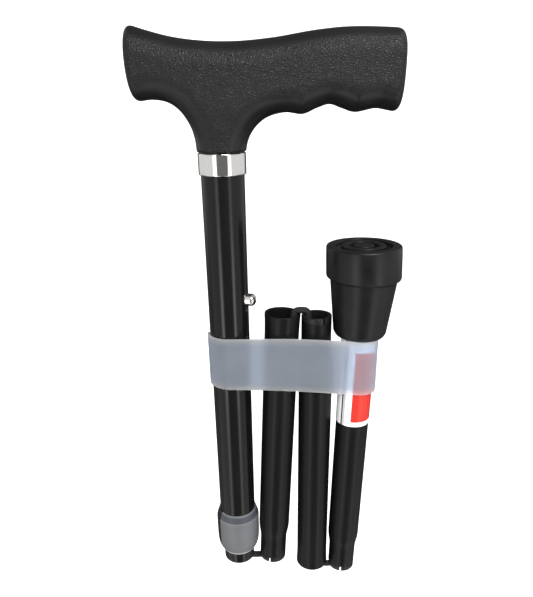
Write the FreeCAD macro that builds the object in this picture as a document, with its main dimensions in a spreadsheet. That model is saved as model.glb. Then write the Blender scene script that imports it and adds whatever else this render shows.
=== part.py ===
import FreeCAD, Part
import Sketcher
import math
import os
import re
from FreeCAD import Placement, Rotation, Vector

# A folding single point cane, folded: four tube sections side by side in the plane Y = 0.
# +Z is up, the handle's nose points to -X and the palm end to +X. The origin is at the middle of
# the footprint, level with the lowest point, the cord's bight between sections 3 and 4.

doc = FreeCAD.newDocument("folding_cane")
sheet = doc.addObject("Spreadsheet::Sheet", "Dimensions")

DIMENSIONS = {
    # upper tube and sliding tube
    "shaft_x": -26.4,
    "outer_radius": 11.1,
    "outer_wall": 1.2,
    "outer_foot_z": 26.0,
    "outer_top_z": 300.0,
    "inner_radius": 9.8,
    "inner_wall": 1.2,
    "inner_foot_z": 12.5,
    "inner_top_z": 224.0,
    "slide_gap": 0.05,
    # height holes and snap button
    "button_z": 193.8,
    "button_turn": -16.0,
    "button_radius": 3.4,
    "button_reach": 16.0,
    "button_root": 6.2,
    "spring_width": 4.0,
    "spring_thick": 0.5,
    "spring_drop": 34.0,
    "hole_radius": 3.5,
    "hole_pitch": 25.4,
    "hole_count": 5,
    # folding sections: foot place, length and lean from the vertical
    "second_x": 22.53,
    "second_z": 11.5,
    "second_length": 173.5,
    "second_lean": 2.436,
    "third_x": 48.95,
    "third_z": 5.73,
    "third_length": 177.6,
    "fourth_x": 68.9,
    "fourth_z": 2.92,
    "fourth_length": 206.0,
    "fourth_lean": 1.5,
    # swaged spigot and flared mouth
    "spigot_radius": 8.5,
    "spigot_bore": 7.3,
    "spigot_length": 18.5,
    "spigot_taper": 7.0,
    "flare_radius": 10.15,
    "flare_bore": 8.95,
    "flare_length": 10.0,
    "mouth_bore": 8.6,
    "ring_radius": 8.5,
    "ring_bore": 6.8,
    "ring_flange": 3.2,
    "ring_height": 7.6,
    "ring_slit": 1.6,
    # elastic cord, whose upper end passes beside the button's spring: how far its legs stand
    # from each tube's axis, and how tightly it turns between them
    "cord_radius": 2.0,
    "anchor_x": -0.6,
    "anchor_y": 4.5,
    "bush_bore": 6.7,
    "notch_width": 4.4,
    "leg_side": 3.0,
    "inner_leg": 5.4,
    "second_leg": 3.63,
    "mouth_leg": 6.5,
    "ring_leg": 4.7,
    "notch_leg": 5.2,
    "foot_bend": 3.2,
    "crown_bend": 2.6,
    "crown_z": 184.0,
    "run_inset": 0.2,
    # handle
    "neck_z": 270.0,
    "neck_radius": 12.4,
    "socket_radius": 11.14,
    "collar_low": 259.2,
    "collar_top": 269.6,
    "collar_radius": 12.1,
    "collar_bore": 11.14,
    # foot sleeve
    "sleeve_low": 20.8,
    "sleeve_top": 52.6,
    "sleeve_radius": 13.6,
    "sleeve_bore": 11.14,
    # ferrule, measured from its open end on the fourth section
    "tip_start": 168.2,
    "tip_length": 50.6,
    "tip_mouth_radius": 14.8,
    "tip_waist_radius": 18.3,
    "tip_head_radius": 20.4,
    "tip_waist_height": 32.0,
    "tip_head_height": 33.3,
    "tread_depth": 3.0,
    "washer_radius": 9.6,
    "washer_height": 1.5,
    "label_start": 113.0,
    "label_height": 54.9,
    "label_wall": 0.15,
    "label_seam": -141.0,
    "label_gap": 6.0,
    # strap round the folded sections: its edges at the front of the upper tube, how far each falls
    # towards the last section, in degrees, and how far the strap's back hangs below its front
    "band_low": 143.0,
    "band_top": 173.8,
    "band_wall": 1.2,
    "band_gap": 0.35,
    "band_low_fall": 4.1,
    "band_top_fall": 2.55,
    "band_sag": 10.5,
}

# the handle's bar: place along X, underside, top and width
GRIP_STATIONS = [
    (-42.2, 297.0, 320.5, 17.0),
    (-40.6, 294.6, 324.4, 22.0),
    (-34.0, 293.7, 324.0, 25.5),
    (-24.0, 292.5, 321.2, 27.5),
    (-10.0, 289.0, 319.0, 28.5),
    (6.0, 287.5, 318.2, 29.0),
    (20.0, 285.8, 318.8, 28.5),
    (33.0, 287.6, 320.4, 28.0),
    (40.5, 286.8, 321.5, 28.5),
    (53.0, 290.6, 323.1, 28.5),
    (65.5, 287.1, 323.5, 30.0),
    (74.5, 288.4, 323.1, 30.5),
    (83.0, 286.6, 322.5, 30.0),
    (86.6, 288.5, 320.6, 27.5),
]
# the handle's neck: height, middle, half length along X and half width along Y
NECK_STATIONS = [
    (DIMENSIONS["neck_z"], -0.1, DIMENSIONS["neck_radius"], DIMENSIONS["neck_radius"] - 0.02),
    (276.0, 0.6, 13.9, 12.6),
    (282.0, 1.8, 17.5, 13.0),
    (288.0, 3.0, 23.0, 13.2),
    (296.0, 3.4, 29.0, 13.0),
    (306.0, 3.4, 30.0, 11.0),
]

for row, (alias, number) in enumerate(DIMENSIONS.items(), start=1):
    sheet.set(f"A{row}", alias)
    sheet.set(f"B{row}", str(number))
    sheet.setAlias(f"B{row}", alias)
doc.recompute()


def bound(text):
    """The expression with each name pointing at its cell of the sheet."""
    return re.sub(r"[a-z][a-z_]*", lambda name: "Dimensions." + name.group(), text)


def size(text):
    """The value of an expression over the sheet's names."""
    return float(sheet.evalExpression(bound(text)))


def finish(node, label, place=None):
    """Gives a sub-part its label and, where it isn't at the origin, its placement."""
    node.Label = label
    if place is not None:
        node.Placement = place
    nodes[label] = node
    return node


nodes = {}
SHAFT = Placement(Vector(size("shaft_x"), 0, 0), Rotation())


def section_place(name, lean="0"):
    """Frame of a folding section: origin at the foot's centre, Z along the tube."""
    foot = Vector(size(f"shaft_x + {name}_x"), 0, size(f"{name}_z"))
    return Placement(foot, Rotation(Vector(0, 1, 0), size(lean)))


SECOND = section_place("second", "second_lean")
THIRD = section_place("third")
FOURTH = section_place("fourth", "fourth_lean")


def origin_plane(body, role):
    return [item for item in body.Origin.OriginFeatures if item.Role == role][0]


def sketch_on(body, role, name):
    sketch = body.newObject("Sketcher::SketchObject", name)
    sketch.AttachmentSupport = (origin_plane(body, role), [""])
    sketch.MapMode = "FlatFace"
    return sketch


def turned(name, profile):
    """A body turned about Z from a closed outline of (radius, height) expressions."""
    body = doc.addObject("PartDesign::Body", name)
    sketch = sketch_on(body, "XZ_Plane", name + "_outline")
    corners = [Vector(size(radius), size(height), 0) for radius, height in profile]
    for index, corner in enumerate(corners):
        following = corners[(index + 1) % len(corners)]
        sketch.addGeometry(Part.LineSegment(corner, following), False)
    for index, (radius, height) in enumerate(profile):
        following = (index + 1) % len(profile)
        sketch.addConstraint(Sketcher.Constraint("Coincident", index, 2, following, 1))
        for kind, text, axis in (("DistanceX", radius, -2), ("DistanceY", height, -1)):
            if abs(size(text)) < 1e-9:
                sketch.addConstraint(Sketcher.Constraint("PointOnObject", index, 1, axis))
                continue
            constraint = Sketcher.Constraint(kind, -1, 1, index, 1, size(text))
            number = sketch.addConstraint(constraint)
            sketch.setExpression(f"Constraints[{number}]", bound(text))
    doc.recompute()
    spin = body.newObject("PartDesign::Revolution", name + "_turn")
    spin.Profile = sketch
    spin.ReferenceAxis = (sketch, ["V_Axis"])
    spin.Angle = 360
    doc.recompute()
    return body


def cylinder(name, radius, height, place):
    rod = doc.addObject("Part::Cylinder", name)
    rod.setExpression("Radius", bound(radius))
    rod.setExpression("Height", bound(height))
    rod.Placement = place
    return rod


def box(name, length, width, height, place):
    block = doc.addObject("Part::Box", name)
    block.setExpression("Length", bound(length))
    block.setExpression("Width", bound(width))
    block.setExpression("Height", bound(height))
    block.Placement = place
    return block


def cut(name, base, tool):
    result = doc.addObject("Part::Cut", name)
    result.Base = base
    result.Tool = tool
    doc.recompute()
    return result


def fuse(name, pieces):
    result = doc.addObject("Part::MultiFuse", name)
    result.Shapes = pieces
    doc.recompute()
    return result


def make_outer_tube():
    """Upper tube, with a row of height holes down one side."""
    body = turned("outer_tube_body", [
        ("outer_radius - outer_wall", "outer_foot_z"),
        ("outer_radius", "outer_foot_z"),
        ("outer_radius", "outer_top_z"),
        ("outer_radius - outer_wall", "outer_top_z"),
    ])
    solid_volume = body.Shape.Volume
    sketch = sketch_on(body, "YZ_Plane", "height_hole_outline")
    centre = Vector(0, size("button_z"), 0)
    sketch.addGeometry(Part.Circle(centre, Vector(0, 0, 1), size("hole_radius")), False)
    sketch.addConstraint(Sketcher.Constraint("PointOnObject", 0, 3, -2))
    height = sketch.addConstraint(Sketcher.Constraint("DistanceY", -1, 1, 0, 3, centre.y))
    sketch.setExpression(f"Constraints[{height}]", bound("button_z"))
    radius = sketch.addConstraint(Sketcher.Constraint("Radius", 0, size("hole_radius")))
    sketch.setExpression(f"Constraints[{radius}]", bound("hole_radius"))
    doc.recompute()
    hole = body.newObject("PartDesign::Pocket", "height_hole")
    hole.Profile = sketch
    hole.setExpression("Length", bound("outer_radius + 1"))
    hole.Reversed = True
    doc.recompute()
    row = body.newObject("PartDesign::LinearPattern", "height_holes")
    row.Originals = [hole]
    row.Direction = (origin_plane(body, "Z_Axis"), [""])
    row.Reversed = True
    row.setExpression("Length", bound("hole_pitch * (hole_count - 1)"))
    row.setExpression("Occurrences", bound("hole_count"))
    body.Tip = row
    doc.recompute()
    removed = solid_volume - body.Shape.Volume
    print("outer tube: volume taken by the holes", round(removed, 1), "mm3")
    turn = Rotation(Vector(0, 0, 1), size("button_turn"))
    finish(body, "outer_tube", Placement(Vector(size("shaft_x"), 0, 0), turn))


def make_inner_tube():
    """Sliding tube: one hole for the button, and an open foot that takes a spigot."""
    body = turned("inner_tube_body", [
        ("flare_bore", "inner_foot_z"),
        ("inner_radius - 0.5", "inner_foot_z"),
        ("inner_radius", "inner_foot_z + 0.6"),
        ("inner_radius", "inner_top_z"),
        ("inner_radius - inner_wall", "inner_top_z"),
        ("inner_radius - inner_wall", "inner_foot_z + 1"),
    ])
    side = Rotation(Vector(0, 1, 0), 90)
    tool = cylinder("inner_hole_tool", "hole_radius", "outer_radius + 1",
                    Placement(Vector(0, 0, size("button_z")), side))
    turn = Rotation(Vector(0, 0, 1), size("button_turn"))
    finish(cut("inner_tube_cut", body, tool), "inner_tube",
           Placement(Vector(size("shaft_x"), 0, 0), turn))


def make_button():
    """Snap button: a domed pin on a flange that stays inside the sliding tube."""
    body = turned("snap_button_body", [
        ("0", "button_root"),
        ("button_radius + 0.6", "button_root"),
        ("button_radius + 0.6", "button_root + 0.9"),
        ("button_radius", "button_root + 0.9"),
        ("button_radius", "button_reach - 2.6"),
        ("0.92 * button_radius", "button_reach - 1.55"),
        ("0.71 * button_radius", "button_reach - 0.75"),
        ("0.38 * button_radius", "button_reach - 0.2"),
        ("0", "button_reach"),
    ])
    turn = Rotation(Vector(0, 0, 1), size("button_turn"))
    side = Rotation(Vector(0, 1, 0), 90)
    finish(body, "snap_button",
           Placement(Vector(size("shaft_x"), 0, size("button_z")), turn * side))


def make_button_spring():
    """Leaf spring bent to a V: one leg carries the button, the other bears on the far wall."""
    width, thick = size("spring_width"), size("spring_thick")
    bend = Vector(0, 0, size("button_z - spring_drop"))
    near = Vector(size("button_root - spring_thick - 0.1"), 0, size("button_z + 5"))
    far = Vector(-size("inner_radius - inner_wall - spring_thick - 0.6"), 0, size("button_z + 5"))
    legs = []
    for end in (near, far):
        along = end.sub(bend)
        leg = Part.makeBox(thick, width, along.Length)
        leg.translate(Vector(-thick / 2, -width / 2, 0))
        leg.Placement = Placement(bend, Rotation(Vector(0, 0, 1), along)).multiply(leg.Placement)
        legs.append(leg)
    nose = Part.makeCylinder(thick, width, bend.sub(Vector(0, width / 2, 0)), Vector(0, 1, 0))
    leaf = doc.addObject("Part::Feature", "button_spring_shape")
    leaf.Shape = legs[0].multiFuse([legs[1], nose]).removeSplitter()
    turn = Rotation(Vector(0, 0, 1), size("button_turn"))
    finish(leaf, "button_spring", Placement(Vector(size("shaft_x"), 0, 0), turn))


def make_handle():
    """Derby handle: an elliptical bar with three finger grooves, and a round neck under it."""
    hoops = []
    for index, (along, low, high, width) in enumerate(GRIP_STATIONS):
        hoop = doc.addObject("Part::Ellipse", f"grip_hoop_{index}")
        hoop.MajorRadius = max(high - low, width) / 2
        hoop.MinorRadius = min(high - low, width) / 2
        upright = Rotation(Vector(0, 1, 0), 90)
        if high - low < width:
            upright = upright * Rotation(Vector(0, 0, 1), 90)
        hoop.Placement = Placement(Vector(along, 0, (low + high) / 2), upright)
        hoops.append(hoop)
    bar = doc.addObject("Part::Loft", "grip_bar")
    bar.Sections = hoops
    bar.Solid = True
    rings = []
    for index, (height, middle, long_half, wide_half) in enumerate(NECK_STATIONS):
        ring = doc.addObject("Part::Ellipse", f"neck_ring_{index}")
        ring.MajorRadius = long_half
        ring.MinorRadius = wide_half
        ring.Placement = Placement(Vector(middle, 0, height), Rotation())
        rings.append(ring)
    stem = doc.addObject("Part::Loft", "grip_neck")
    stem.Sections = rings
    stem.Solid = True
    doc.recompute()
    whole = fuse("grip_whole", [bar, stem])
    socket = cylinder("grip_socket", "socket_radius", "outer_top_z + 0.4 - neck_z + 1",
                      Placement(Vector(0, 0, size("neck_z") - 1), Rotation()))
    finish(cut("grip_cut", whole, socket), "handle_grip", SHAFT)


def make_tube_plug():
    """Plug with a head, pressed in the upper tube's top where the handle grips it."""
    body = turned("tube_plug_body", [
        ("0", "outer_top_z - 36"),
        ("outer_radius - outer_wall - 1", "outer_top_z - 36"),
        ("outer_radius - outer_wall", "outer_top_z - 35"),
        ("outer_radius - outer_wall", "outer_top_z"),
        ("0", "outer_top_z"),
    ])
    finish(body, "tube_plug", SHAFT)


def make_collar():
    """Bright ring with rolled edges between the handle's neck and the tube."""
    body = turned("chrome_collar_body", [
        ("collar_bore", "collar_low"),
        ("collar_radius - 0.45", "collar_low"),
        ("collar_radius - 0.1", "collar_low + 0.2"),
        ("collar_radius", "collar_low + 0.6"),
        ("collar_radius", "collar_top - 0.6"),
        ("collar_radius - 0.1", "collar_top - 0.2"),
        ("collar_radius - 0.45", "collar_top"),
        ("collar_bore", "collar_top"),
    ])
    finish(body, "chrome_collar", SHAFT)


def make_sleeve():
    """Soft sleeve on the upper tube's foot; its lower lip steadies the sliding tube."""
    body = turned("locking_sleeve_body", [
        ("inner_radius + slide_gap", "sleeve_low"),
        ("sleeve_radius - 2.7", "sleeve_low"),
        ("sleeve_radius - 2.4", "sleeve_low + 0.6"),
        ("sleeve_radius - 1.1", "sleeve_low + 3.2"),
        ("sleeve_radius - 0.3", "sleeve_low + 6.5"),
        ("sleeve_radius", "sleeve_low + 12"),
        ("sleeve_radius", "sleeve_top - 6"),
        ("sleeve_radius - 0.4", "sleeve_top - 4.6"),
        ("sleeve_radius - 1.8", "sleeve_top - 0.4"),
        ("sleeve_radius - 2.1", "sleeve_top"),
        ("sleeve_bore", "sleeve_top"),
        ("sleeve_bore", "outer_foot_z - 0.3"),
        ("inner_radius + slide_gap", "outer_foot_z - 0.3"),
    ])
    finish(body, "locking_sleeve", SHAFT)


def make_glide_bush():
    """Bush in the sliding tube's top; its rim runs in the upper tube."""
    body = turned("glide_bush_body", [
        ("bush_bore", "inner_top_z - 10"),
        ("mouth_bore", "inner_top_z - 10"),
        ("mouth_bore", "inner_top_z"),
        ("outer_radius - outer_wall - slide_gap", "inner_top_z"),
        ("outer_radius - outer_wall - slide_gap", "inner_top_z + 3"),
        ("bush_bore", "inner_top_z + 3"),
    ])
    finish(body, "glide_bush", SHAFT)


def make_cord_anchor_top():
    """Crimped barrel on the cord's upper end, which bears on the bush."""
    body = turned("cord_anchor_top_body", [
        ("cord_radius", "inner_top_z + 3"),
        ("cord_radius + 2.9", "inner_top_z + 3"),
        ("cord_radius + 3.2", "inner_top_z + 4"),
        ("cord_radius + 3.2", "inner_top_z + 10"),
        ("cord_radius + 2.6", "inner_top_z + 11"),
        ("cord_radius", "inner_top_z + 11"),
    ])
    centre = Vector(size("shaft_x + anchor_x"), size("anchor_y"), 0)
    finish(body, "cord_anchor_top", Placement(centre, Rotation()))


def spigot_outline():
    """Outer half of a section's outline, from its ring's flange up to the full diameter."""
    return [
        ("spigot_bore", "ring_flange"),
        ("spigot_radius", "ring_flange"),
        ("spigot_radius", "spigot_length"),
        ("spigot_radius + 0.35", "spigot_length + 0.15 * spigot_taper"),
        ("inner_radius - 0.35", "spigot_length + 0.85 * spigot_taper"),
        ("inner_radius", "spigot_length + spigot_taper"),
    ]


def flare_outline(length):
    """The flared mouth at the far end of a section, and back down to the spigot's bore."""
    return [
        ("inner_radius", f"{length} - flare_length"),
        ("flare_radius - 0.2", f"{length} - 0.35 * flare_length"),
        ("flare_radius", f"{length} - 0.8"),
        ("flare_radius - 0.3", length),
        ("flare_bore + 0.3", length),
        ("flare_bore", f"{length} - 0.8"),
        ("mouth_bore", f"{length} - 0.5 * flare_length"),
        ("mouth_bore", "spigot_length + spigot_taper + 1"),
        ("spigot_bore", "spigot_length"),
    ]


def make_second_section():
    """Spigot at the foot, flared mouth at the top."""
    body = turned("second_body", spigot_outline() + flare_outline("second_length"))
    finish(body, "section_2_tube", SECOND)


def make_third_section():
    """The same tube turned end for end: spigot at the top, mouth at the foot."""
    body = turned("third_body", spigot_outline() + flare_outline("third_length"))
    top = THIRD.multVec(Vector(0, 0, size("third_length")))
    finish(body, "section_3_tube", Placement(top, Rotation(Vector(1, 0, 0), 180)))


def make_fourth_section():
    """Spigot at the foot, and a plain end inside the ferrule."""
    body = turned("fourth_body", spigot_outline() + [
        ("inner_radius", "fourth_length"),
        ("mouth_bore", "fourth_length"),
        ("mouth_bore", "spigot_length + spigot_taper + 1"),
        ("spigot_bore", "spigot_length"),
    ])
    finish(body, "section_4_tube", FOURTH)


def make_spigot_rings():
    """Slit plastic rings: a flange that caps each spigot, and a lip inside its bore."""
    top = THIRD.multVec(Vector(0, 0, size("third_length")))
    upside_down = Placement(top, Rotation(Vector(1, 0, 0), 180))
    rings = [("spigot_ring_2", SECOND, -107), ("spigot_ring_3", upside_down, 66),
             ("spigot_ring_4", FOURTH, -99)]
    for label, place, slit_turn in rings:
        body = turned(label + "_body", [
            ("ring_bore", "0"),
            ("ring_radius - 0.2", "0"),
            ("ring_radius", "0.2"),
            ("ring_radius", "ring_flange"),
            ("spigot_bore", "ring_flange"),
            ("spigot_bore", "ring_height"),
            ("ring_bore", "ring_height"),
        ])
        turn = Rotation(Vector(0, 0, 1), slit_turn)
        slit = box(label + "_slit", "12", "ring_slit", "ring_height + 2",
                   Placement(turn.multVec(Vector(0, -size("ring_slit") / 2, -1)), turn))
        ring = cut(label + "_open", body, slit)
        if label == "spigot_ring_4":
            # the cord comes in from under section 3 through this gap
            notch = box(label + "_notch", "12", "notch_width", "ring_height + 2",
                        Placement(Vector(-12, -size("notch_width") / 2, -1), Rotation()))
            ring = cut(label + "_notched", ring, notch)
        finish(ring, label, place)


def make_tip():
    """Rubber ferrule, worn on the fourth section's far end, with rings moulded in the tread."""
    top = "tip_length"
    valley = "tip_length - tread_depth"
    body = turned("rubber_tip_body", [
        ("inner_radius + 0.02", "0"),
        ("tip_mouth_radius - 1.8", "0"),
        ("tip_mouth_radius", "2.6"),
        ("tip_waist_radius", "tip_waist_height"),
        ("tip_head_radius", "tip_head_height"),
        ("tip_head_radius - 0.2", "tip_length - 0.8"),
        ("tip_head_radius - 1", top),
        ("0.75 * tip_head_radius", top),
        ("0.74 * tip_head_radius", valley),
        ("0.58 * tip_head_radius", valley),
        ("0.57 * tip_head_radius", top),
        ("0.40 * tip_head_radius", top),
        ("0.39 * tip_head_radius", valley),
        ("0.27 * tip_head_radius", valley),
        ("0.26 * tip_head_radius", top),
        ("0", top),
        ("0", "fourth_length - tip_start + washer_height"),
        ("inner_radius + 0.02", "fourth_length - tip_start + washer_height"),
    ])
    start = FOURTH.multVec(Vector(0, 0, size("tip_start")))
    finish(body, "rubber_tip", Placement(start, FOURTH.Rotation))
    washer = cylinder("tip_washer_disc", "washer_radius", "washer_height",
                      Placement(FOURTH.multVec(Vector(0, 0, size("fourth_length"))),
                                FOURTH.Rotation))
    finish(washer, "tip_washer")


def make_cord_anchor_bottom():
    """Cup in the fourth section's far end, with the hole that the cord is knotted through."""
    body = turned("cord_anchor_bottom_body", [
        ("cord_radius", "fourth_length - 10"),
        ("mouth_bore", "fourth_length - 10"),
        ("mouth_bore", "fourth_length - 0.1"),
        ("mouth_bore - 1.5", "fourth_length - 0.1"),
        ("mouth_bore - 1.5", "fourth_length - 7"),
        ("cord_radius", "fourth_length - 7"),
    ])
    finish(body, "cord_anchor_bottom", FOURTH)


def make_label():
    """Thin wrap on the fourth section, whose two edges nearly meet."""
    wrap = []
    for name, radius in (("label_outside", "inner_radius + label_wall"),
                         ("label_inside", "inner_radius")):
        shell = cylinder(name, radius, "label_height", Placement())
        shell.Angle = 360 - size("label_gap") if name == "label_outside" else 360
        wrap.append(shell)
    place = FOURTH.multVec(Vector(0, 0, size("label_start")))
    turn = FOURTH.Rotation * Rotation(Vector(0, 0, 1), size("label_seam + label_gap / 2"))
    finish(cut("label_cut", wrap[0], wrap[1]), "label", Placement(place, turn))


def make_band():
    """Closed strap round all four sections, with slanted edges and upright walls."""
    left = Vector(0, 0, 0)
    middle = size("(band_low + band_top) / 2 - fourth_z")
    right_x = size("fourth_x") + middle * math.tan(math.radians(size("fourth_lean")))
    right = Vector(right_x, 0, 0)

    def loop_face(grow):
        """Two arcs about the end tubes, joined by their common tangents."""
        near = size("outer_radius + band_gap") + grow
        far = size("inner_radius + label_wall + 2 * band_gap") + grow
        tilt = math.asin((near - far) / right_x)
        up = Vector(math.sin(tilt), math.cos(tilt), 0)
        down = Vector(up.x, -up.y, 0)
        start = left + up * near
        end = right + up * far
        edges = [
            Part.LineSegment(start, end).toShape(),
            Part.Arc(end, right + Vector(far, 0, 0), right + down * far).toShape(),
            Part.LineSegment(right + down * far, left + down * near).toShape(),
            Part.Arc(left + down * near, left - Vector(near, 0, 0), start).toShape(),
        ]
        return Part.Face(Part.Wire(edges))

    def beyond(height, fall, way):
        """Block above or below one edge, which drops from the strap's front to its back."""
        start = -size("outer_radius + band_gap + band_wall")
        shape = ((start - 40, 0), (-1, 0), (2, 0.06), (5, 0.3), (8, 0.68), (11, 0.94), (14, 1))
        edge = [Vector(-200, y, height - drop * size("band_sag")) for y, drop in shape]
        curve = Part.BSplineCurve()
        curve.interpolate(edge[1:])
        far = Vector(-200, 60, edge[-1].z)
        corners = [edge[-1], far, far + Vector(0, 0, 100 * way),
                   edge[0] + Vector(0, 0, 100 * way), edge[0], edge[1]]
        wire = Part.Wire([curve.toShape(), *Part.makePolygon(corners).Edges])
        lift = 200 * math.tan(math.radians(fall))
        wire.translate(Vector(0, 0, lift))
        return Part.Face(wire).extrude(Vector(400, 0, -2 * lift))

    strap = loop_face(size("band_wall")).extrude(Vector(0, 0, size("2 * band_top")))
    strap = strap.cut(loop_face(0).extrude(Vector(0, 0, size("2 * band_top"))))
    strap = strap.cut(beyond(size("band_top"), size("band_top_fall"), 1))
    strap = strap.cut(beyond(size("band_low"), size("band_low_fall"), -1))
    strap = strap.common(Part.makeBox(300, 100, 120, Vector(-100, -50, size("band_low") - 50)))
    band = doc.addObject("Part::Feature", "folding_band_shape")
    band.Shape = strap
    finish(band, "folding_band", SHAFT)


def cord_tube(name, path):
    """Round cord along a wire, with its volume compared with section times length."""
    start = path.Edges[0].valueAt(path.Edges[0].FirstParameter)
    along = path.Edges[0].tangentAt(path.Edges[0].FirstParameter)
    ring = Part.Wire(Part.makeCircle(size("cord_radius"), start, along))
    solid = path.makePipeShell([ring], True, False)
    expected = math.pi * size("cord_radius") ** 2 * path.Length
    if abs(solid.Volume / expected - 1) > 0.02:
        raise RuntimeError(f"{name}: volume {solid.Volume:.1f} is not {expected:.1f}")
    cord = doc.addObject("Part::Feature", name + "_shape")
    cord.Shape = solid
    finish(cord, name)


def level(start, end, height):
    """Point of the line from start to end at that height, brought to the plane Y = 0."""
    share = (height - start.z) / (end.z - start.z)
    return Vector(start.x + (end.x - start.x) * share, 0, height)


def quarter(centre, radius, start, end):
    """Quarter turn about centre, from the direction start to the direction end."""
    middle = (start + end).normalize()
    return Part.Arc(centre + start * radius, centre + middle * radius,
                    centre + end * radius).toShape()


def make_cord():
    """Elastic cord: a straight run in each tube and a bight round each pair of rims."""
    anchor = Vector(size("shaft_x + anchor_x"), size("anchor_y"), size("inner_top_z + 10.8"))
    foot_leg = Vector(size("shaft_x + inner_leg"), size("leg_side"), size("inner_foot_z"))
    second_leg = SECOND.multVec(Vector(-size("second_leg"), size("leg_side"), 0))
    second_top = SECOND.multVec(Vector(size("mouth_leg"), 0, size("second_length")))
    third_top = THIRD.multVec(Vector(-size("ring_leg"), 0, size("third_length")))
    third_leg = THIRD.multVec(Vector(size("mouth_leg"), 0, 0))
    fourth_leg = FOURTH.multVec(Vector(-size("notch_leg"), 0, 0))
    west, east = Vector(-1, 0, 0), Vector(1, 0, 0)
    up, down = Vector(0, 0, 1), Vector(0, 0, -1)
    # a run stops a little short of its bight, so that the two don't share a face
    inset = size("run_inset")
    crown_z = size("crown_z")
    third_lift = size("third_z - fourth_z + run_inset")
    fourth_end = FOURTH.multVec(Vector(0, 0, size("fourth_length - 5")))
    runs = [
        ("cord_run_1", anchor + down * inset, foot_leg + up * inset),
        ("cord_run_2", second_leg + up * 3 * inset, level(second_leg, second_top, crown_z - inset)),
        ("cord_run_3", level(third_leg, third_top, crown_z - inset), third_leg + up * inset),
        ("cord_run_4", fourth_leg + up * third_lift, fourth_end),
    ]
    for name, start, end in runs:
        cord_tube(name, Part.Wire(Part.LineSegment(start, end).toShape()))

    # sections 1 and 2: down, across under both rims and up
    bend = size("foot_bend")
    turn_z = size("second_z")
    first = Vector(foot_leg.x + bend, foot_leg.y, turn_z)
    second = Vector(second_leg.x - bend, second_leg.y, turn_z)
    cord_tube("cord_bridge_1", Part.Wire([
        Part.LineSegment(foot_leg, Vector(foot_leg.x, foot_leg.y, turn_z)).toShape(),
        quarter(first, bend, west, down),
        Part.LineSegment(first + down * bend, second + down * bend).toShape(),
        quarter(second, bend, down, east),
    ]))
    # sections 2 and 3: up, across close over both rims and down
    bend = size("crown_bend")
    first = Vector(level(second_leg, second_top, crown_z).x + bend, 0, crown_z)
    second = Vector(third_top.x - bend, 0, crown_z)
    cord_tube("cord_bridge_2", Part.Wire([
        quarter(first, bend, west, up),
        Part.LineSegment(first + up * bend, second + up * bend).toShape(),
        quarter(second, bend, up, east),
    ]))
    # sections 3 and 4: down, across under both rims, and up through the gap in the ring
    bend = size("third_z - cord_radius")
    first = third_leg + east * bend
    second = Vector(fourth_leg.x - bend, 0, third_leg.z)
    cord_tube("cord_bridge_3", Part.Wire([
        quarter(first, bend, west, down),
        Part.LineSegment(first + down * bend, second + down * bend).toShape(),
        quarter(second, bend, down, east),
    ]))


def fold_pivot(name, mouth, mouth_way, tip, tip_way):
    """Hinge point that lays tip on mouth with their axes in line, and the angle it takes."""
    target = mouth + mouth_way * 0.5
    bearing_mouth = math.degrees(math.atan2(mouth_way.x, mouth_way.z))
    bearing_tip = math.degrees(math.atan2(tip_way.x, tip_way.z))
    angle = (bearing_mouth + 180 - bearing_tip) % 360
    turned_tip = Rotation(Vector(0, 1, 0), angle).multVec(tip)
    rest = target - turned_tip
    cosine, sine = math.cos(math.radians(angle)), math.sin(math.radians(angle))
    determinant = (1 - cosine) ** 2 + sine ** 2
    x = ((1 - cosine) * rest.x + sine * rest.z) / determinant
    z = ((1 - cosine) * rest.z - sine * rest.x) / determinant
    if angle > 180:
        angle -= 360
    print(f"{name}: pivot x {x:.3f} z {z:.3f}, turn {angle:.3f} deg")


def report_joints():
    """Prints the hinge points that follow from the sections' places."""
    up, down = Vector(0, 0, 1), Vector(0, 0, -1)
    inner_foot = Vector(size("shaft_x"), 0, size("inner_foot_z"))
    second_up = SECOND.Rotation.multVec(up)
    fold_pivot("fold_1", inner_foot, down, SECOND.Base, second_up * -1)
    fold_pivot("fold_2", SECOND.multVec(Vector(0, 0, size("second_length"))), second_up,
               THIRD.multVec(Vector(0, 0, size("third_length"))), up)
    fourth_up = FOURTH.Rotation.multVec(up)
    fold_pivot("fold_3", THIRD.Base, down, FOURTH.Base, fourth_up * -1)


make_handle()
make_tube_plug()
make_collar()
make_outer_tube()
make_sleeve()
make_inner_tube()
make_glide_bush()
make_cord_anchor_top()
make_button()
make_button_spring()
make_second_section()
make_third_section()
make_fourth_section()
make_spigot_rings()
make_tip()
make_cord_anchor_bottom()
make_label()
make_band()
make_cord()
doc.recompute()
report_joints()

for item in doc.Objects:
    if "Invalid" in item.State or "Error" in item.State:
        raise RuntimeError(f"{item.Name} failed: {item.State}")

os.makedirs("parts", exist_ok=True)
whole_box = FreeCAD.BoundBox()
for label, node in nodes.items():
    shape = node.Shape
    if shape.isNull() or not shape.isValid() or not shape.Solids:
        raise RuntimeError(f"{label} has no valid solid")
    whole_box.add(shape.BoundBox)
    shape.exportStep(f"parts/{label}.step")
print("nodes", len(nodes), "box", whole_box)
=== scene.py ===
"""Folding single point cane, folded up, in the frame of the CAD model.

Sizes of the pieces are in mm. Materials, lights, floor and camera are in metres.
"""
import math
import bmesh
import bpy
import numpy as np
from mathutils import Matrix, Vector


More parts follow.
